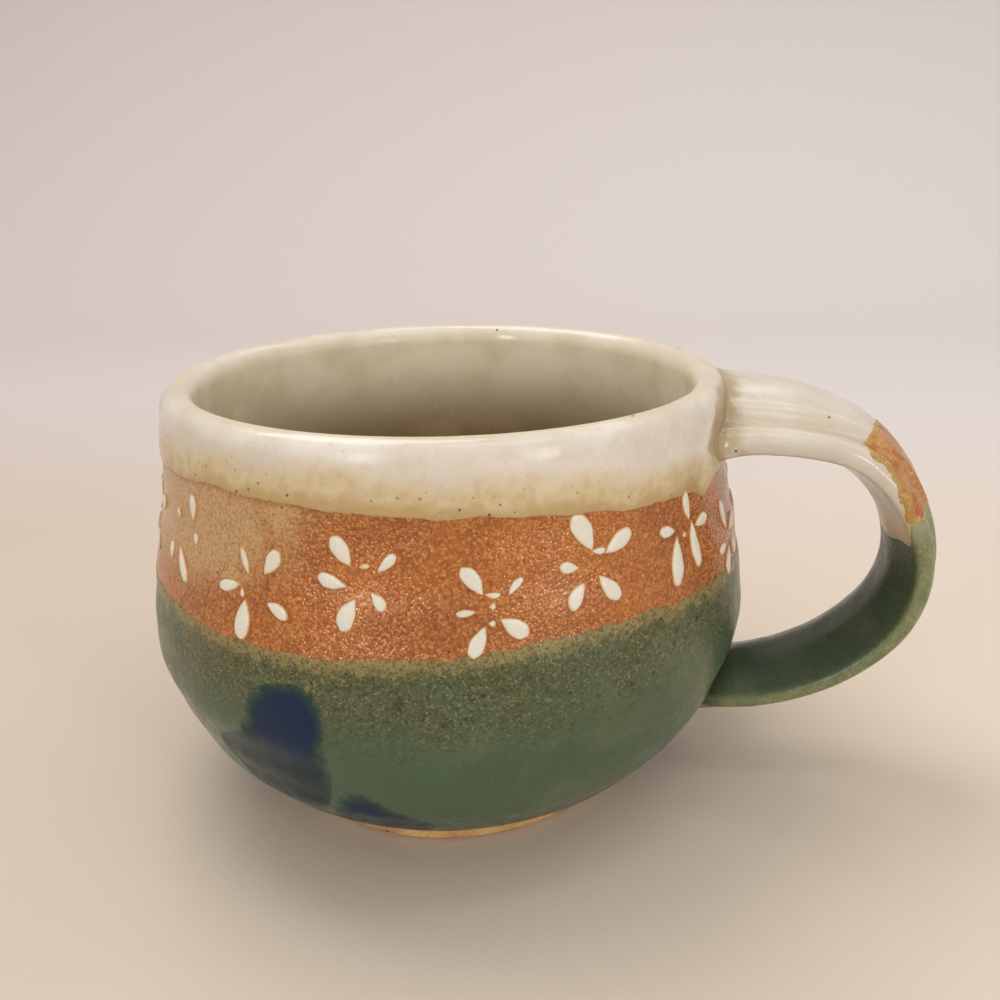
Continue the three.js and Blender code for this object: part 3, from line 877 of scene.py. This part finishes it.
def blot(name, degrees, height, outline, core, reach):
    """A brushed blot in the green glaze: a skin as thin as its edge, coloured by its depth.

    It is bluest at its core, and that fades over its reach.
    """
    ring = closed_curve(outline, 10)
    share = np.linspace(0, 1, 25)[:, None]
    flat = ring * share[..., None]
    s = SKIN.outside(height + flat[..., 1])
    angles = math.radians(degrees) + flat[..., 0] / SKIN.at(s)[0]
    lift = np.interp(1 - share, [0, 0.12, 0.3, 1], [-0.1, 0.012, 0.03, 0.04])
    top = on_bowl(s, angles, GREEN_LEVEL + lift)
    under = on_bowl(s[::-4], angles[::-4], -0.4)
    top[0] = top[0].mean(axis=0)
    under[-1] = under[-1].mean(axis=0)
    values = {
        "deep": (1 - share) * np.linalg.norm(ring, axis=1),
        "heart": 1 - np.hypot(*((flat[..., i] - core[i]) / reach for i in (0, 1))),
        "from_edge": green_edge(angles) - s,
        "from_foot": s - foot_edge(angles),
    }
    values = {key: np.concatenate([v, v[::-4]]) for key, v in values.items()}
    return grid_piece(name, np.concatenate([top, under]), values)


# ------------------------ materials
def srgb(code):
    """A colour from its display value, as six hexadecimal digits."""
    shown = [int(code[i : i + 2], 16) / 255 for i in (0, 2, 4)]
    linear = [c / 12.92 if c <= 0.04045 else ((c + 0.055) / 1.055) ** 2.4 for c in shown]
    return (*linear, 1.0)


SPAN_ENDS = ("From Min", "From Max", "To Min", "To Max")


class Graph:
    """Short names for the shader nodes used here, and the colour mixed so far."""

    def __init__(self, name):
        self.material = bpy.data.materials.new(name)
        self.material.use_nodes = True
        self.tree = self.material.node_tree
        self.shader = self.tree.nodes["Principled BSDF"]
        self.place = self.node("ShaderNodeTexCoord").outputs["Object"]
        self.color = None

    def feed(self, made, inputs):
        for key, value in inputs.items():
            if isinstance(value, bpy.types.NodeSocket):
                self.tree.links.new(value, made.inputs[key])
            else:
                made.inputs[key].default_value = value

    def node(self, kind, inputs=None, **settings):
        made = self.tree.nodes.new(kind)
        for key, value in settings.items():
            setattr(made, key, value)
        self.feed(made, inputs or {})
        return made

    def attribute(self, name):
        return self.node("ShaderNodeAttribute", attribute_name=name).outputs["Fac"]

    def noise(self, size, detail, roughness=0.5):
        """Noise with features about this many mm across, from 0 to 1."""
        inputs = {"Vector": self.place, "Scale": 1000 / size}
        inputs.update({"Detail": detail, "Roughness": roughness})
        return self.node("ShaderNodeTexNoise", inputs).outputs["Fac"]

    def cells(self, size):
        """Cells about this many mm across: distances from their middles, a number to each."""
        made = self.node("ShaderNodeTexVoronoi", {"Vector": self.place, "Scale": 1000 / size})
        split = self.node("ShaderNodeSeparateColor", {0: made.outputs["Color"]})
        return made.outputs["Distance"], split.outputs[0]

    def math(self, operation, a, b=0.0):
        return self.node("ShaderNodeMath", {0: a, 1: b}, operation=operation).outputs[0]

    def span(self, value, low, high, out_low=0.0, out_high=1.0, smooth=True):
        """Maps a value between two limits, clamped."""
        inputs = {"Value": value, **dict(zip(SPAN_ENDS, (low, high, out_low, out_high)))}
        kind = "SMOOTHSTEP" if smooth else "LINEAR"
        made = self.node("ShaderNodeMapRange", inputs, interpolation_type=kind)
        return made.outputs["Result"]

    def stray(self, value, noise, spread, by):
        """The value moved up or down by the noise, which counts this far from 0.5 either way."""
        return self.math("ADD", value, self.span(noise, 0.5 - spread, 0.5 + spread, -by, by, False))

    def mix(self, share, a, b):
        """A colour between two others; the node's colour sockets are 6, 7 and 2."""
        a, b = (srgb(value) if isinstance(value, str) else value for value in (a, b))
        return self.node("ShaderNodeMix", {0: share, 6: a, 7: b}, data_type="RGBA").outputs[2]

    def lay(self, over, *shares):
        """Lays another colour over the one so far, by the product of the shares."""
        share = shares[0]
        for part in shares[1:]:
            share = self.math("MULTIPLY", share, part)
        self.color = self.mix(share, self.color, over)

    def specks(self, size, radius, share):
        """Sparse round specks: size between them and radius in mm, and how many are kept."""
        distance, random = self.cells(size)
        near = self.span(distance, radius / size, 0.45 * radius / size)
        return self.math("MULTIPLY", near, self.math("GREATER_THAN", random, 1 - share))

    def bump(self, height, depth, normal=None):
        """Relief of this many mm for heights from 0 to 1."""
        inputs = {"Strength": 1.0, "Distance": depth * 0.001, "Height": height}
        if normal is not None:
            inputs["Normal"] = normal
        return self.node("ShaderNodeBump", inputs).outputs["Normal"]

    def finish(self, roughness, normal, **fixed):
        inputs = {"Base Color": self.color, "Roughness": roughness, "Normal": normal}
        inputs.update({key.replace("_", " "): value for key, value in fixed.items()})
        self.feed(self.shader, inputs)
        return self.material


def clay_material():
    g = Graph("bare_stoneware")
    grain = g.noise(0.5, 3)
    patch = g.noise(9, 3)
    g.color = g.mix(g.span(patch, 0.35, 0.65), "d4ac70", "ba8c56")
    g.lay("966c42", g.span(grain, 0.4, 0.75, 0, 0.5))
    g.lay("5c3e26", g.specks(2.4, 0.5, 0.6))
    return g.finish(g.span(grain, 0.3, 0.7, 0.62, 0.85), g.bump(grain, 0.06))


def inside_tone_and_shade(g, past):
    """The liner's colour: paler by the lip, darker, browner and greener down the wall, the
    darkening painted shade inside the bowl.
    """
    cloud = g.noise(14, 3, 0.55)
    # painted shade: the liner turns darker and browner down the wall into the bowl
    tone = g.mix(g.span(past, 7, 30), "e8dac0", "846e4a")
    return g.mix(g.span(cloud, 0.35, 0.7, 0, 0.45), tone, "baa886")


def white_material(name):
    g = Graph(name)
    edge, past = g.attribute("from_edge"), g.attribute("past_crest")
    strap, crease = g.attribute("strap"), g.attribute("at_joint")
    cloud, fine = g.noise(11, 4, 0.6), g.noise(1.6, 3)
    g.color = g.mix(g.span(cloud, 0.3, 0.7), "d9d1c6", "c9beae")
    thin = g.stray(edge, cloud, 0.3, 2.2)
    tan = g.mix(g.span(fine, 0.35, 0.7), "c4af86", "b69e74")
    g.lay(tan, g.span(thin, 7.5, 2.2, 0, 0.95))
    # the hollow between the strap's ridges is laid greyish tan: partly thin glaze, partly painted
    # shade
    hollow = g.math("MULTIPLY", g.attribute("hollow"), g.span(cloud, 0.25, 0.6, 0.35, 0.8))
    g.lay("b0a084", hollow)
    # painted shade: the white on the strap and its joint is laid greyer than on the rim
    g.lay("b0a692", strap, 0.4)
    rim_only = g.math("SUBTRACT", 1.0, strap)
    g.lay("aa8c58", g.span(thin, 2.4, 0.2, 0, 0.8), rim_only)
    g.lay("beac8c", g.span(fine, 0.55, 0.8, 0, 0.3))
    g.lay("bea07e", g.span(thin, 10, 1.5, 0, 0.9), strap)
    g.lay("928e6c", g.span(thin, 2.6, 0.2), strap)
    wander = g.stray(crease, g.noise(3, 2), 0.3, 0.25)
    g.lay("a28e66", g.span(wander, 0.12, 0.6, 0, 0.9))
    g.lay("96825a", g.span(crease, 0.7, 1.0, 0, 0.7))
    crest = g.math("ABSOLUTE", past)
    g.lay("c4b692", g.span(crest, 2.2, 0.3, 0, 0.45))
    g.lay(inside_tone_and_shade(g, past), g.span(past, 0.5, 5))
    near_edge = g.span(edge, 5, 0.3, 0.12, 1)
    g.lay("5c4424", g.specks(1.7, 0.3, 0.8), near_edge)
    g.lay("423220", g.specks(7, 0.4, 0.6), 0.9)
    soft = g.noise(3.2, 2)
    pits = g.math("MULTIPLY", g.specks(1.5, 0.2, 0.6), near_edge)
    height = g.math("SUBTRACT", soft, g.math("MULTIPLY", pits, 1.2))
    normal = g.bump(height, 0.06, g.bump(g.noise(0.7, 2), 0.008))
    return g.finish(g.span(g.noise(5, 3), 0.3, 0.7, 0.16, 0.28), normal)


def pebbles(g, size):
    """A skin of fine rounded grains: heights from 0 to 1, and a random number to each grain."""
    distance, random = g.cells(size)
    dome = g.math("MULTIPLY", g.span(distance, 0.05, 0.7, 1, 0), 0.65)
    return g.math("ADD", dome, g.math("MULTIPLY", g.noise(size, 2), 0.5)), random


def rust_material():
    g = Graph("rust_slip")
    cloud, blotch = g.noise(13, 3, 0.6), g.noise(4.2, 3)
    g.color = g.mix(g.span(cloud, 0.36, 0.66), "a45810", "8e4606")
    g.lay("a05c12", g.span(blotch, 0.45, 0.75, 0, 0.4))
    pale = g.stray(g.attribute("pale"), g.noise(5, 3), 0.3, 0.45)
    g.lay("b89868", g.span(pale, -0.25, 0.5, 0, 0.9))
    to_rim, to_green = g.attribute("to_rim"), g.attribute("to_green")
    g.lay("844a20", g.span(to_rim, 1.1, 0.1, 0, 0.5))
    g.lay("845028", g.span(to_green, 0.9, 0.0, 0, 0.5))
    relief, coarse = pebbles(g, 0.5)
    _, shade = pebbles(g, 0.32)
    g.lay("d89656", g.span(shade, 0.6, 1.0, 0, 0.42))
    g.lay("5c2a06", g.span(shade, 0.4, 0.0, 0, 0.38))
    g.lay("d89656", g.span(coarse, 0.6, 1.0, 0, 0.25))
    # painted shade: darker in the low places of the grain relief that the bump also uses
    g.lay("502408", g.span(relief, 0.4, 0.1, 0, 0.45))
    g.lay("3a2014", g.specks(3.6, 0.3, 0.7), 0.9)
    g.lay("542c16", g.specks(2.2, 0.2, 0.5), 0.6)
    normal = g.bump(relief, 0.09, g.bump(g.noise(2.4, 2), 0.05))
    rough = g.span(g.noise(2.5, 2), 0.3, 0.7, 0.1, 0.18)
    warm = (1.0, 0.8, 0.64, 1)
    return g.finish(rough, normal, Specular_IOR_Level=1.0, Specular_Tint=warm)


def patch_material():
    """The strap's bare patch: ochre at its crusted border, orange and pale lumps inside."""
    g = Graph("rust_slip_patch")
    lumps, fine = g.noise(2.0, 3, 0.6), g.noise(0.6, 3)
    g.color = g.mix(g.span(lumps, 0.4, 0.62), "b07a3e", "9e5a22")
    g.lay("bc8a54", g.span(g.noise(5, 2), 0.45, 0.7, 0, 0.5))
    inward = g.stray(g.attribute("inward"), lumps, 0.2, 0.8)
    g.lay("a68642", g.span(inward, 2.6, 0.6, 0, 0.9))
    g.lay("7a5024", g.span(fine, 0.56, 0.75, 0, 0.6))
    g.lay("dcbe8c", g.span(fine, 0.42, 0.3, 0, 0.6))
    height = g.math("ADD", lumps, g.math("MULTIPLY", fine, 0.5))
    normal = g.bump(height, 0.25)
    return g.finish(g.span(fine, 0.3, 0.7, 0.2, 0.34), normal)


def green_tone(g, edge, foot):
    """The green glaze: gritty olive where it is thin at its edge, deep teal lower down, darker
    towards the foot partly as painted shade.
    """
    cloud, grit, blotch = g.noise(12, 4, 0.6), g.noise(0.8, 3, 0.65), g.noise(2.2, 3, 0.6)
    depth = g.stray(edge, cloud, 0.25, 4)
    g.color = g.mix(g.span(depth, 3, 16), "505232", "42563e")
    g.lay("3e5c48", g.span(g.noise(8, 3), 0.5, 0.72, 0, 0.4))
    g.lay("5c6244", g.span(g.noise(16, 2), 0.52, 0.68, 0, 0.5))
    # darker towards the foot: partly the glaze's own deep tone, partly painted shade under the
    # belly
    g.lay("1e342a", g.span(foot, 16, 2, 0, 0.7))
    thin = g.stray(edge, blotch, 0.2, 0.9)
    g.lay("8a7846", g.span(thin, 2.8, 0.7, 0, 0.85))
    gritty = g.span(depth, 17, 4, 0.15, 1)
    _, sand = pebbles(g, 0.3)
    g.lay("1c1c08", g.span(grit, 0.5, 0.64), gritty, 0.5)
    g.lay("9c9670", g.span(sand, 0.72, 1.0), gritty, 0.34)
    g.lay("1c200e", g.span(sand, 0.3, 0.0), gritty, 0.5)
    spots, clots = g.specks(2.8, 0.5, 0.6), g.specks(5.5, 1.3, 0.5)
    g.lay("201a0c", spots, g.span(depth, 18, 3, 0.1, 0.85))
    g.lay("282816", clots, g.span(depth, 16, 5, 0, 0.5))
    return grit, gritty


def green_finish(g, grit, gritty, shine=0.34):
    relief = g.math("MULTIPLY", g.math("ADD", grit, g.noise(0.4, 2)), gritty)
    normal = g.bump(relief, 0.09, g.bump(g.noise(4, 3), 0.08))
    rough = g.span(g.noise(3, 2), 0.3, 0.7, 0.2, 0.34)
    return g.finish(rough, normal, Specular_IOR_Level=shine)


def green_material():
    g = Graph("green_glaze")
    grit, gritty = green_tone(g, g.attribute("from_edge"), g.attribute("from_foot"))
    # painted shade: the green is darkened to near black in the crease at the strap's tail
    crease = g.stray(g.attribute("at_joint"), grit, 0.2, 0.15)
    g.lay("14241a", g.span(crease, 0.1, 0.9, 0, 0.9))
    return green_finish(g, grit, gritty)


def strap_green_material():
    g = Graph("green_glaze_strap")
    edge = g.attribute("from_edge")
    grit, gritty = green_tone(g, edge, 40.0)
    olive = g.mix(g.span(g.noise(6, 3), 0.35, 0.65), "969566", "747c54")
    g.lay(olive, g.span(grit, 0.35, 0.6, 0.75, 0.45))
    g.lay("8a8e6c", g.span(edge, 6.5, 0.5, 0, 0.8))
    # the inner face is laid dark green: partly glaze pooled dark, partly painted shade under the
    # loop
    g.lay("2a3a30", g.attribute("inner"), 0.78)
    # painted shade: the strap's green is darkened to near black where its tail joins the wall
    g.lay("122016", g.span(g.attribute("at_joint"), 0.3, 0.85, 0, 0.9))
    return green_finish(g, grit, gritty)


def blot_material():
    g = Graph("cobalt_in_green_glaze")
    grit, gritty = green_tone(g, g.attribute("from_edge"), g.attribute("from_foot"))
    deep = g.stray(g.attribute("deep"), g.noise(3.0, 4, 0.65), 0.25, 1.2)
    teal = g.mix(g.span(g.noise(5, 3), 0.35, 0.7), "163232", "223c36")
    g.lay(teal, g.span(deep, 0.6, 2.2, 0, 0.95))
    slate = g.mix(g.noise(2.5, 3), "00202a", "0e2a2c")
    blue = g.mix(g.noise(1.2, 3), "041c3e", "0e263e")
    heart = g.span(g.attribute("heart"), -0.1, 0.5)
    g.lay(g.mix(heart, slate, blue), g.span(deep, 1.8, 3.6, 0, 0.97))
    smooth = g.math("MULTIPLY", gritty, g.span(deep, 3, 1, 0.15, 1))
    return green_finish(g, grit, smooth, 0.22)


def flower_material():
    g = Graph("brushed_white_slip")
    grain = g.noise(0.4, 2)
    thickness = g.span(g.attribute("slip"), 0, 1, 0.42, 1, False)
    body = g.math("MULTIPLY", g.attribute("rise"), thickness)
    body = g.stray(body, g.noise(0.8, 2), 0.3, 0.12)
    g.color = g.mix(g.span(body, 0.15, 0.5), "b67e46", "ccb284")
    g.lay("d4cec0", g.span(body, 0.42, 0.75))
    normal = g.bump(grain, 0.03, g.bump(g.noise(1.5, 2), 0.08))
    return g.finish(g.span(grain, 0.3, 0.7, 0.24, 0.36), normal)


# ------------------------ putting it together
def dress(piece, material, node):
    piece.data.materials.append(material)
    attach(piece, "root")
    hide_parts(node)


clay = clay_material()
white = white_material("rim_glaze_white")
green = green_material()
strap_green_glaze = strap_green_material()

dress(clay_bowl(), clay, "bowl_body")
dress(clay_strap(), clay, "handle_strap")
dress(rim_glaze(), white, "rim_glaze")
dress(slip_band(), rust_material(), "rust_slip_band")
dress(green_glaze(), green, "green_base_glaze")
dress(liner_glaze(), white_material("liner_glaze"), "liner_glaze")
dress(strap_white(), white, "handle_white_glaze")
dress(strap_patch(), patch_material(), "handle_rust_patch")
dress(strap_green(), strap_green_glaze, "handle_green_glaze")
dress(joint_upper(), white, "upper_joint_coil")
dress(joint_lower(), strap_green_glaze, "lower_joint_coil")

slip_white = flower_material()
for piece, node in make_flowers():
    dress(piece, slip_white, node)

cobalt = blot_material()
large = blot("blot_large", -105.8, 28, LARGE_BLOT, (0.8, 4.5), 8.0)
small = blot("blot_small", -93, 14.5, SMALL_BLOT, (-1.5, 2.0), 6.0)
dress(large, cobalt, "cobalt_blot_large")
dress(small, cobalt, "cobalt_blot_small")


# ------------------------ floor, light and camera
# The photo's camera: where it stands, how it is turned in degrees, and its lens and crop.
EYE = (0.02309, -0.16843, 0.10911)
YAW, PITCH, ROLL = -8.2, 14.0, -0.65
LENS, SENSOR = 35.73, 36
SHIFT = (-0.0331, -0.0963)
FLOOR_REACH = 3.0  # to either side and towards the camera, in metres
FLOOR_BEND = (0.45, 0.3)  # where it starts to curve up behind the mug, and how tightly
FLOOR_TOP = (0.77, 1.4)  # where its back ends, as distance behind and height


def floor():
    """A pale floor that curves up into a backdrop, square to the camera's view; its colour is
    painted darker to the left and lighter to the right as light and shade.
    """
    g = Graph("pale_floor")
    split = g.node("ShaderNodeSeparateXYZ", {0: g.place})
    near = g.mix(g.noise(60, 3), "c2b4a4", "bdae9d")
    # painted light and shade: the floor's colour runs darker to the left and lighter to the right
    near = g.mix(g.span(split.outputs[0], -0.24, 0.1), near, "d4c6b5")
    far = g.mix(g.span(split.outputs[0], -0.4, 0.5), "c4bbb9", "d8d1cf")
    g.color = g.mix(g.span(split.outputs[1], 0.03, 0.3), near, far)
    material = g.finish(0.85, g.bump(g.noise(1.2, 3), 0.05))
    start, radius = FLOOR_BEND
    profile = [(-FLOOR_REACH, 0), (start, 0)]
    bend = np.linspace(0, 1.5, 24)[1:]
    profile += [(start + radius * math.sin(a), radius - radius * math.cos(a)) for a in bend]
    profile += [FLOOR_TOP]
    points, faces = [], []
    turn = math.radians(-YAW)
    for y, z in profile:
        for x in (-FLOOR_REACH, FLOOR_REACH):
            px = x * math.cos(turn) - y * math.sin(turn)
            py = x * math.sin(turn) + y * math.cos(turn)
            points.append((1000 * px, 1000 * py, 1000 * z - 0.05))
    for i in range(len(profile) - 1):
        faces.append([2 * i, 2 * i + 1, 2 * i + 3, 2 * i + 2])
    piece = build("pale_floor", points, faces)
    piece.data.materials.append(material)


# Each lamp's name, place, target, size in metres, watts and colour.
LAMPS = [
    ("ceiling_softbox", (-0.32, 0.2, 0.85), (0, 0, 0.03), (0.55, 0.55), 3.9, (1, 0.97, 0.94)),
    ("back_strip", (0.3, 0.3, 0.6), (0.05, 0, 0.05), (0.8, 0.03), 0.45, (1, 0.98, 0.96)),
    ("handle_strip", (0.1, -0.12, 0.5), (0.05, 0, 0.05), (0.3, 0.04), 0.14, (1, 0.98, 0.96)),
    ("left_window", (-0.22, -0.56, 0.19), (0, 0, 0.04), (0.016, 0.34), 0.6, (1, 0.98, 0.96)),
    ("right_window", (0.41, -0.42, 0.18), (0, 0, 0.05), (0.016, 0.32), 0.6, (1, 0.98, 0.96)),
]
ROOM_COLOR = (1.0, 0.975, 0.955, 1)
ROOM_BRIGHT_SIDE = (0.5, -0.8, 0.3)
ROOM_STRENGTHS = (0.53, 0.9)  # on the side away from there, and on that side


def lamp(name, place, target, size, power, color):
    data = bpy.data.lights.new(name, "AREA")
    data.shape = "RECTANGLE"
    data.size, data.size_y = size
    data.energy = power
    data.color = color
    lamp_object = bpy.data.objects.new(name, data)
    lamp_object.location = place
    way = Vector(target) - Vector(place)
    lamp_object.rotation_mode = "QUATERNION"
    lamp_object.rotation_quaternion = way.to_track_quat("-Z", "Y")
    lamp_object.visible_camera = False
    bpy.context.scene.collection.objects.link(lamp_object)


def light():
    """A soft room, brighter in front to the right, and five lamps."""
    world = bpy.data.worlds.new("studio")
    world.use_nodes = True
    nodes, links = world.node_tree.nodes, world.node_tree.links
    background = nodes["Background"]
    background.inputs["Color"].default_value = ROOM_COLOR
    way = nodes.new("ShaderNodeTexCoord")
    facing = nodes.new("ShaderNodeVectorMath")
    facing.operation = "DOT_PRODUCT"
    facing.inputs[1].default_value = ROOM_BRIGHT_SIDE
    ramp = nodes.new("ShaderNodeMapRange")
    links.new(way.outputs["Generated"], facing.inputs[0])
    links.new(facing.outputs["Value"], ramp.inputs["Value"])
    links.new(ramp.outputs["Result"], background.inputs["Strength"])
    for key, number in zip(SPAN_ENDS, (-1, 1, *ROOM_STRENGTHS)):
        ramp.inputs[key].default_value = number
    bpy.context.scene.world = world
    for row in LAMPS:
        lamp(*row)


def camera():
    """Looks down a little on the mug from in front, with the handle to the right."""
    data = bpy.data.cameras.new("photo_view")
    data.sensor_width = SENSOR
    data.lens = LENS
    data.shift_x, data.shift_y = SHIFT
    data.clip_start = 0.01
    data.clip_end = 10
    yaw, pitch, roll = (math.radians(v) for v in (YAW, PITCH, ROLL))
    ahead = Vector(
        (math.sin(yaw) * math.cos(pitch), math.cos(yaw) * math.cos(pitch), -math.sin(pitch))
    )
    right = Vector((math.cos(yaw), -math.sin(yaw), 0))
    up = right.cross(ahead)
    tilted_right = right * math.cos(roll) + up * math.sin(roll)
    tilted_up = up * math.cos(roll) - right * math.sin(roll)
    eye = bpy.data.objects.new("photo_view", data)
    axes = Matrix((tilted_right, tilted_up, -ahead)).transposed().to_4x4()
    eye.matrix_world = Matrix.Translation(EYE) @ axes
    bpy.context.scene.collection.objects.link(eye)
    bpy.context.scene.camera = eye


floor()
light()
camera()
bpy.context.scene.view_settings.view_transform = "Standard"
